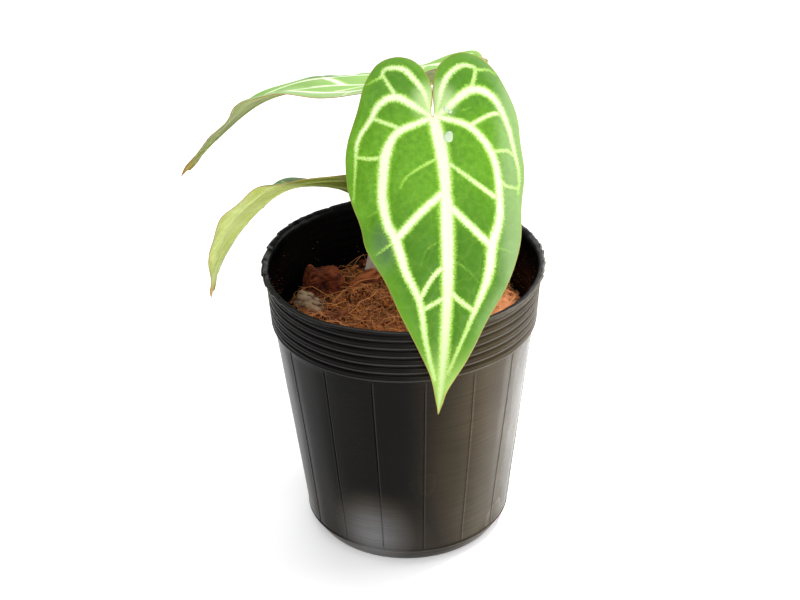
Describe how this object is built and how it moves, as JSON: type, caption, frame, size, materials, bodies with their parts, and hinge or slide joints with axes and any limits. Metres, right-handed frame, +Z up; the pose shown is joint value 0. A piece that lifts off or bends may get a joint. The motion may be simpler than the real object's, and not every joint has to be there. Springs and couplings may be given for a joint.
{
  "type": "potted anthurium",
  "caption": "Young velvet-leaved anthurium with heart-shaped, pale-veined leaves, growing in a ribbed black nursery pot of coir and bark.",
  "frame": {"origin": "middle of the pot's flat underside", "axes": "+Z up; the front leaf's upper face looks towards -Y; +X is on its right hand side as one looks at it"},
  "size_m": [0.1561, 0.1481, 0.2206],
  "materials": {
    "pot": "thin black polythene with a soft sheen, fine level scratches and dust",
    "coir": "rough orange-brown coir fibre and husk crumbs",
    "bark": "rough red-brown husk and bark",
    "pale_bark": "rough bark with pale lichen",
    "label": "plain off-white plastic",
    "stem": "dry papery sheaths over a green stem",
    "petiole": "smooth green stalk, reddish at the joint",
    "leaf": "velvet mid green with silvery-white feathered veins, paler olive underneath"
  },
  "bodies": {
    "root": {"pot": "pot", "potting_mix": "coir", "bark_chip_1": "bark", "bark_chip_2": "bark", "bark_chip_3": "bark", "bark_chip_4": "bark", "bark_chip_5": "bark", "bark_chip_6": "bark", "bark_chip_7": "bark", "bark_chip_8": "bark", "bark_chip_9": "bark", "pale_bark_chip": "pale_bark", "plant_label": "label", "stem": "stem", "petiole_front": "petiole", "petiole_upper": "petiole", "petiole_lower": "petiole", "leaf_front": "leaf", "leaf_upper": "leaf", "leaf_lower": "leaf"}
  },
  "joints": []
}
